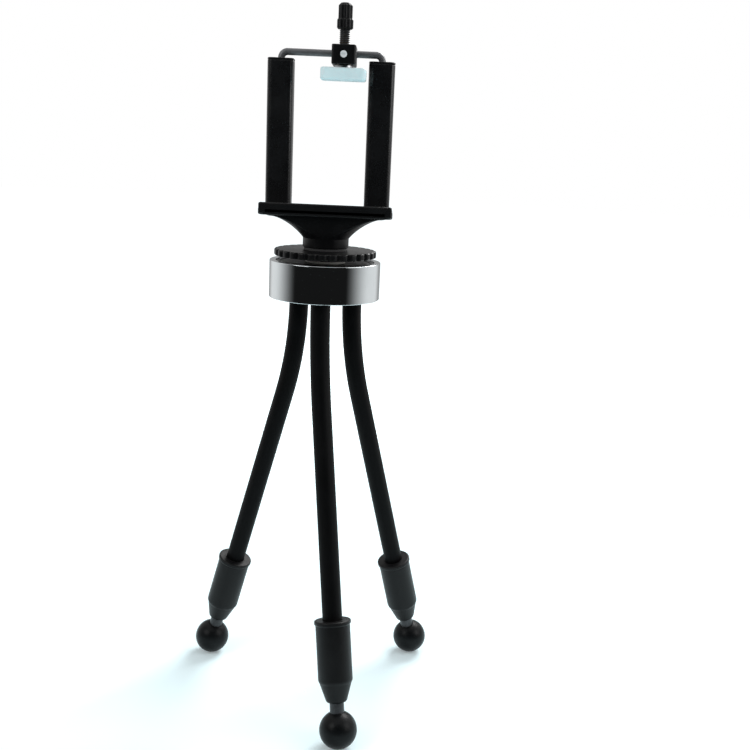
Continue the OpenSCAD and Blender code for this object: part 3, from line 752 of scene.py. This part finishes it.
class TRIPOD_OT_clamp_base(bpy.types.Operator):
    """Draws the neck, the flare, the ledge and its front lip"""

    bl_idname = "tripod.clamp_base"
    bl_label = "Clamp Base"

    def execute(self, context):
        sizes = context.scene.tripod_clamp
        half_x, half_y, foot, lip_top = span("clamp_base")
        middle_y = middle("clamp_base")[1] - HUB_Y
        floor = span("left_rail")[2]
        bottom = floor - sizes.ledge_thickness
        ledge = slab(half_x, half_y, sizes.corner, bottom, floor, 0.6 * MM)
        ledge[..., 1] += middle_y
        lip_half, end_step, foot_step = sizes.lip_thickness / 2, 0.35 * MM, 0.4 * MM
        lip = slab(half_x - end_step, lip_half, lip_half, bottom + foot_step, lip_top, 0.7 * MM)
        lip[..., 1] += middle_y - half_y + lip_half
        grids = [at_hub(grid) for grid in (self.trunk(sizes, foot, bottom), ledge, lip)]
        piece("clamp_foot", "moulded_black", "clamp_base", "clamp", *grids)
        dress("steel", "rail_screws")
        return {"FINISHED"}

    def trunk(self, sizes, foot, top):
        """The neck and the trumpet above it, cut flat in front and behind.

        With an angle a from 0 to a quarter turn the height grows by the flare's height times sin a.
        The radius grows by the flare's reach times c sin a + (1 - c) (1 - cos a), where c is the
        cone's share. The depth y is limited softly: |y| - log(1 + exp((|y| - d) k)) / k."""
        neck, reach = sizes.neck_diameter / 2, (sizes.flare_width - sizes.neck_diameter) / 2
        start = foot + sizes.neck_height
        edge = 0.5 * MM
        t = np.linspace(0, math.pi / 2, 5)
        a = np.linspace(0, math.pi / 2, 26)
        cone = sizes.cone_share
        flare = neck + reach * (cone * np.sin(a) + (1 - cone) * (1 - np.cos(a)))
        rise = start + (top - edge - start) * np.sin(a)
        r = np.concatenate([neck - edge * (1 - np.sin(t)), flare, [flare[-1]] * 2])
        z = np.concatenate([foot + edge * (1 - np.cos(t)), rise, [top, top + edge]])
        grid = lathe(np.stack([r, z], -1), circle_angles(160))
        depth, hardness = sizes.flare_depth / 2, 3 / MM
        y = np.abs(grid[..., 1])
        soft = y - np.logaddexp(0, (y - depth) * hardness) / hardness
        grid[..., 1] = np.sign(grid[..., 1]) * np.maximum(soft, 0)
        return grid


class TRIPOD_OT_rails(bpy.types.Operator):
    """Draws the two rails, the caps on them and the springs inside"""

    bl_idname = "tripod.rails"
    bl_label = "Rails"

    def execute(self, context):
        sizes = context.scene.tripod_clamp
        hole = context.scene.tripod_head.wire_diameter / 2 + 2 * FIT_GAP
        corner, top = sizes.rail_corner, span("rail_caps")[3]
        caps = []
        for side in ("left", "right"):
            node = f"{side}_rail"
            half_x, half_y, z0, z1 = span(node)
            centre = middle(node) * FLAT
            rail = slab(half_x, half_y, corner, z0, z1, 0.25 * MM, 12) + centre
            piece(f"{side}_clamp_rail", "rail_paint", node, "clamp", rail, slot="rail_black")
            cap = holed_slab(half_x, half_y, corner, hole, np.zeros(2), z1, top, 0.3 * MM, 12)
            caps.append(cap + centre)
        piece("rail_end_caps", "moulded_black", "rail_caps", "clamp", *caps, ring=True)
        for side in ("left", "right"):
            self.spring(sizes, side)
        return {"FINISHED"}

    def spring(self, sizes, side):
        """A coil of round wire whose middle line climbs evenly, x = R cos a, y = R sin a."""
        node = f"{side}_bail_spring"
        outer, _, foot, top = span(node)
        wire = sizes.spring_wire / 2
        r = outer - wire
        a = np.linspace(0, 2 * math.pi * sizes.spring_turns, sizes.spring_turns * 24 + 1)
        rise = top - foot - 2 * wire
        path = np.stack([r * np.cos(a), r * np.sin(a), foot + wire + rise * a / a[-1]], -1)
        climb = np.full(len(a), rise / a[-1])
        tangents = unit(np.stack([-r * np.sin(a), r * np.cos(a), climb], -1))
        across = np.stack([np.cos(a), np.sin(a), 0 * a], -1)
        grid = carry(path, tangents, across, circle(12) * wire) + middle(node) * FLAT
        new = piece(f"{side}_coil", "steel", node, "clamp", grid, slot="spring_steel", sharp=60)
        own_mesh(new)


class TRIPOD_OT_bail(bpy.types.Operator):
    """Draws the bent wire of the bail and the nut block on it"""

    bl_idname = "tripod.bail"
    bl_label = "Bail and Nut Block"

    def execute(self, context):
        self.wire(context.scene.tripod_head)
        self.block()
        dress("steel", "bail_stops")
        dress("brass", "thumb_nut")
        dress("zinc", "nut_lock_screw")
        return {"FINISHED"}

    def wire(self, sizes):
        """A round wire carried up one rail, over the top and down the other rail."""
        (left, _, foot), (right, _, top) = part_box("bail")
        r = sizes.wire_diameter / 2
        x0, x1, y, bar = left + r, right - r, middle("bail")[1], top - r
        corners = [(x0, y, foot), (x0, y, bar), (x1, y, bar), (x1, y, foot)]
        path = round_corners(corners, sizes.bend_radius, 14, closed=False)
        tangents = unit(np.gradient(path, axis=0))
        tangents[0], tangents[-1] = UP, -UP
        across = np.broadcast_to(np.array([0, 1.0, 0]), path.shape)
        grid = carry(path, tangents, across, circle(32) * r)
        piece("bail_wire", "dull_wire", "bail", "bail", grid, slot="steel")

    def block(self):
        """A slab with the nut's hole through it, over the thumb screw."""
        node = "nut_block"
        half_x, half_y, z0, z1 = span(node)
        centre = middle(node)
        hole = span("thumb_nut")[0] + FIT_GAP
        hole_xy = middle("thumb_nut")[:2] - centre[:2]
        corner, edge = 1.0 * MM, 0.4 * MM
        grid = holed_slab(half_x, half_y, corner, hole, hole_xy, z0, z1, edge, 12) + centre * FLAT
        piece("screw_block", "moulded_black", node, "bail", grid, ring=True)


class TRIPOD_OT_pads(bpy.types.Operator):
    """Draws the pressure pad and the ledge pad"""

    bl_idname = "tripod.pads"
    bl_label = "Pads"

    def execute(self, context):
        self.pressure(context.scene.tripod_head)
        self.ledge(context.scene.tripod_clamp)
        dress("steel", "pad_swivel")
        return {"FINISHED"}

    def pressure(self, sizes):
        """A rounded slab whose top dips into a round seat for the swivel's cup."""
        node = "pressure_pad"
        half_x, half_y, z0, z1 = span(node)
        outside = slab(half_x, half_y, sizes.pad_corner, z0, z1, 0.8 * MM, 12)
        turns = np.arctan2(outside[SLAB_STEPS, :, 1], outside[SLAB_STEPS, :, 0])
        edge, r = 0.3 * MM, sizes.swivel_diameter / 2
        lip, seat = r + sizes.swivel_lip, span("pad_swivel")[2] - FIT_GAP
        plate = seat + sizes.swivel_plate
        profile = [
            (r + edge, z1), (r + edge / 3, z1 - edge / 3), (r, z1 - edge),
            (r, plate), (lip, plate), (lip, seat),
        ]
        grid = np.concatenate([outside, lathe(profile, turns)]) + middle(node) * FLAT
        piece("pale_pressure_pad", "pale_rubber", node, "pad", grid)

    def ledge(self, sizes):
        """A flat strip with ribs along it: rows of a slab whose top is z - rib c(y)^4.

        c(y) is half of 1 - cos of the angle 2 pi y / the ribs' spacing, so that the grooves are
        narrow and the ribs between them wide."""
        node = "ledge_pad"
        half_x, half_y, z0, z1 = span(node)
        edge, tip = 0.25 * MM, 0.01 * MM
        y = np.linspace(-half_y + edge * 2, half_y - edge * 2, sizes.ledge_ribs * 12 + 1)
        turns = (y - y[0]) / (y[-1] - y[0]) * 2 * math.pi * sizes.ledge_ribs
        top = z1 - sizes.rib_depth * (0.5 - 0.5 * np.cos(turns)) ** 4
        below = round_corners(rectangle(half_y, z1 - z0), edge, 5)[:14]  # its two lower corners
        below[:, 1] = np.maximum(below[:, 1] + z1, z0)
        profile = np.concatenate([below, np.stack([y, top], -1)[::-1]])
        rows = [-half_x, -half_x + tip, half_x - tip, half_x]
        grid = np.array([[(x, *point) for point in profile] for x in rows]) + middle(node) * FLAT
        piece("ribbed_ledge_pad", "grip_rubber", node, "clamp", grid)


class TRIPOD_OT_thumb_screw(bpy.types.Operator):
    """Draws the threaded thumb screw and its fluted knob"""

    bl_idname = "tripod.thumb_screw"
    bl_label = "Thumb Screw"

    def execute(self, context):
        sizes = context.scene.tripod_head
        self.screw(sizes)
        self.knob(sizes)
        return {"FINISHED"}

    def screw(self, sizes):
        """A ball end and a shank with a thread.

        The thread's radius at the height z and the angle a is R minus its depth times a triangle
        wave of z / pitch - a / (2 pi)."""
        node = "thumb_screw"
        ball, _, foot, top = span(node)
        r = sizes.screw_diameter / 2
        neck, pole = r * 0.9, 0.05
        a = circle_angles(48)
        f = np.linspace(pole, math.pi - math.asin(neck / ball), 20)
        tip = np.stack([ball * np.sin(f), foot + ball - ball * np.cos(f)], -1)
        start = foot + ball + math.sqrt(ball ** 2 - neck ** 2) + 0.05 * MM
        z = np.arange(start, top, sizes.pitch / 10)[:, None]
        phase = np.mod(z / sizes.pitch - a / (2 * math.pi), 1)
        radius = r - sizes.pitch * 0.5 * np.abs(2 * phase - 1)
        shank = np.stack([radius * np.cos(a), radius * np.sin(a), z + 0 * radius], -1)
        grid = np.concatenate([lathe(tip, a), shank]) + middle(node) * FLAT
        piece("threaded_screw", "black_oxide", node, "thumb_screw", grid, slot="ferrule_black",
              sharp=70)

    def knob(self, sizes):
        """A slim lathed knob whose wall is drawn in at the flutes."""
        node = "screw_knob"
        r, _, z0, z1 = span(node)
        edge, pole, flute_depth = 0.5 * MM, 0.05 * MM, 0.4 * MM
        top, step = r * 0.87, z0 + (z1 - z0) * 0.35
        outline = [
            (pole, z0), (r - edge, z0), (r, z0 + edge), (r, step), (top, step + edge),
            (top, z1 - edge * 2), (top - edge * 2, z1), (pole, z1),
        ]
        profile = round_corners(outline, 0.35 * MM, 6, closed=False)
        fade = np.clip((profile[:, 0] - top * 0.6) / (top * 0.4), 0, 1)
        grid = fluted(profile, sizes.flutes, 16, flute_depth / r, 2, fade) + middle(node) * FLAT
        piece("fluted_knob", "moulded_black", node, "thumb_screw", grid)


class TRIPOD_OT_inner_parts(bpy.types.Operator):
    """Gives the wires inside the legs their finish"""

    bl_idname = "tripod.inner_parts"
    bl_label = "Inner Parts"

    def execute(self, context):
        dress("steel", *[f"{leg}_core_{k}" for leg in LEGS for k in (1, 2, 3)])
        return {"FINISHED"}


def stand(new, x, y, z, place):
    """Turns an object so that its axes are x, y and z, and moves it to its place."""
    matrix = np.eye(4)
    matrix[:3] = np.stack([x, y, z, place], -1)
    new.matrix_world = Matrix(matrix.tolist())


def ray_mask(tree, first, *others):
    """1 for rays of these kinds, such as those to the camera, and 0 for the light on things."""
    path = add(tree, "LightPath").outputs
    mask = path[first]
    for kind in others:
        mask = math_node(tree, "MAXIMUM", mask, path[kind])
    return mask


def stage_sheet(name, grid):
    """A stage object from a grid with open ends, its empty material tree and its surface input."""
    material = bpy.data.materials.new(name)
    material.use_nodes = True
    tree = material.node_tree
    tree.nodes.clear()
    new = mesh_object(name, grid.reshape(-1, 3), quads(grid), material)
    return new, tree, add(tree, "OutputMaterial").inputs["Surface"]


class TRIPOD_OT_stage(bpy.types.Operator):
    """Sets the camera, the floor, the glowing sheet of painted reflections that only shine mirrors,
    and the lamps
    """

    bl_idname = "tripod.stage"
    bl_label = "Stage"

    def execute(self, context):
        sizes = context.scene.tripod_stage
        self.camera(context, sizes)
        self.floor(sizes)
        self.dark_card()
        self.world(context, sizes)
        self.lamps()
        context.scene.view_settings.view_transform = "Standard"
        return {"FINISHED"}

    def camera(self, context, sizes):
        """A camera that looks along +Y and down, rolled so that the object leans right."""
        e, roll = sizes.elevation, sizes.roll
        forward = np.array([0, math.cos(e), -math.sin(e)])
        right, up = np.array([1.0, 0, 0]), np.array([0, math.sin(e), math.cos(e)])
        aim = np.array([HUB_X + sizes.aim_x, HUB_Y, sizes.aim_z])
        turned_right = math.cos(roll) * right + math.sin(roll) * up
        turned_up = -math.sin(roll) * right + math.cos(roll) * up
        data = bpy.data.cameras.new("camera")
        data.lens, data.sensor_width = sizes.lens, 36
        data.clip_start, data.clip_end = 0.01, 50
        camera = linked("camera", data)
        stand(camera, turned_right, turned_up, -forward, aim - sizes.distance * forward)
        context.scene.camera = camera

    def floor(self, sizes):
        """A wide flat disc under the feet that shows white and keeps a pale shadow."""
        rings = [(4.0, 0), (1.2, 0), (0.4, 0), (0.001, 0)]
        _, tree, surface = stage_sheet("floor", lathe(rings, circle_angles(96)))
        away = add(tree, "VectorMath", add(tree, "TexCoord").outputs["Object"])
        away.operation = "LENGTH"
        level = add(
            tree, "MapRange", value=away.outputs["Value"], from_min=0.2, from_max=0.7,
            to_min=sizes.near_glow, to_max=sizes.far_glow,
        )
        seen = ray_mask(tree, "Is Camera Ray", "Is Glossy Ray")
        strength = math_node(tree, "MULTIPLY", seen, level.outputs["Result"])
        paper = add(tree, "BsdfDiffuse", color=(*sizes.floor_tint, 1))
        glow = add(tree, "Emission", strength=strength)
        both = add(tree, "AddShader", paper.outputs[0], glow.outputs[0])
        tree.links.new(both.outputs[0], surface)

    def dark_card(self):
        """A glowing sheet round the object and on the floor there, which only shine mirrors: a
        painted reflection of the room.

        It is a flat ring and a cylinder, a painted dark reflection behind the camera, painted pale
        reflections at the sides and a grey one behind the object. Its level at an angle from the
        front is the product of two smooth steps, one from dark to 1 at the sides and one from 1 to
        grey at the back."""
        degrees = np.arange(-180, 180, 2)
        front_middle, front_half, front_fade = -5.5, 49.5, 65
        back_half, back_fade = 22, 28
        # glow levels of the painted reflections: dark in front, grey behind, pale at the sides
        dark, grey, pale = 0.011, 0.4, 0.92
        inner, outer, foot, top = 0.25, 0.8, 0.003, 1.2
        grid = lathe([(inner, foot), (outer, foot), (outer, top)], np.radians(degrees - 90))
        card, tree, surface = stage_sheet("dark_card", at_hub(grid))
        front = smooth_step((np.abs(degrees - front_middle) - front_half) / front_fade)
        back = smooth_step((180 - np.abs(degrees) - back_half) / back_fade)
        level = np.tile(np.maximum(front, dark) * (grey + (1 - grey) * back), len(grid))
        values = card.data.attributes.new("level", "FLOAT", "POINT").data
        values.foreach_set("value", level.astype(np.float32))
        told = add(tree, "Attribute")
        told.attribute_name = "level"
        strength = math_node(tree, "MULTIPLY", told.outputs["Fac"], pale)
        tree.links.new(add(tree, "Emission", strength=strength).outputs[0], surface)
        card.visible_camera = card.visible_diffuse = False
        card.visible_shadow = card.visible_transmission = False

    def world(self, context, sizes):
        """Even pale light from all round, white to the camera and in reflections."""
        world = bpy.data.worlds.new("studio")
        world.use_nodes = True
        tree = world.node_tree
        seen = ray_mask(tree, "Is Camera Ray", "Is Glossy Ray", "Is Transmission Ray")
        level = math_node(tree, "MULTIPLY", seen, 1 - sizes.world_light)
        level = math_node(tree, "ADD", level, sizes.world_light)
        feed(tree, tree.nodes["Background"], color=(1, 1, 1, 1), strength=level)
        context.scene.world = world

    def lamps(self):
        """Three soft boxes: upper left, right, and the main one behind on the right."""
        target = np.array([HUB_X, HUB_Y, 0.12])
        for name, offset, size, power in (
            ("left_box", (-0.55, -0.45, 0.55), 0.45, 2.0),
            ("right_box", (0.65, -0.25, 0.45), 0.45, 1.8),
            ("main_box", (0.35, 0.6, 0.65), 0.55, 9.0),
        ):
            data = bpy.data.lights.new(name, "AREA")
            data.shape, data.size, data.size_y, data.energy = "RECTANGLE", size, size, power
            place = at_hub(np.array(offset))
            z = unit(place - target)
            x = unit(np.cross(UP + [0.01, 0, 0], z))
            stand(linked(name, data), x, np.cross(z, x), z, place)


OPERATORS = (
    TRIPOD_OT_stage,
    TRIPOD_OT_leg_skins,
    TRIPOD_OT_feet,
    TRIPOD_OT_hub,
    TRIPOD_OT_clamp_base,
    TRIPOD_OT_rails,
    TRIPOD_OT_bail,
    TRIPOD_OT_pads,
    TRIPOD_OT_thumb_screw,
    TRIPOD_OT_inner_parts,
)
SETTINGS = {
    "tripod_leg": LegSettings,
    "tripod_foot": FootSettings,
    "tripod_hub": HubSettings,
    "tripod_clamp": ClampSettings,
    "tripod_head": HeadSettings,
    "tripod_stage": StageSettings,
}


class TRIPOD_PT_panel(bpy.types.Panel):
    """Lists the settings and the operators"""

    bl_idname = "TRIPOD_PT_panel"
    bl_label = "Phone Tripod"
    bl_space_type = "VIEW_3D"
    bl_region_type = "UI"
    bl_category = "Tripod"

    def draw(self, context):
        for name, group in SETTINGS.items():
            box = self.layout.box()
            box.label(text=group.__doc__)
            for setting in group.__annotations__:
                box.prop(getattr(context.scene, name), setting)
        for operator in OPERATORS:
            self.layout.operator(operator.bl_idname)


def register():
    for group in SETTINGS.values():
        bpy.utils.register_class(group)
    for name, group in SETTINGS.items():
        setattr(bpy.types.Scene, name, PointerProperty(type=group))
    for cls in (*OPERATORS, TRIPOD_PT_panel):
        bpy.utils.register_class(cls)


def unregister():
    for cls in reversed((*OPERATORS, TRIPOD_PT_panel)):
        bpy.utils.unregister_class(cls)
    for name in SETTINGS:
        delattr(bpy.types.Scene, name)
    for group in SETTINGS.values():
        bpy.utils.unregister_class(group)


def main():
    register()
    bpy.ops.tripod.stage()
    bpy.ops.tripod.leg_skins()
    bpy.ops.tripod.feet()
    bpy.ops.tripod.hub()
    bpy.ops.tripod.clamp_base()
    bpy.ops.tripod.rails()
    bpy.ops.tripod.bail()
    bpy.ops.tripod.pads()
    bpy.ops.tripod.thumb_screw()
    bpy.ops.tripod.inner_parts()


if __name__ == "__main__":
    main()
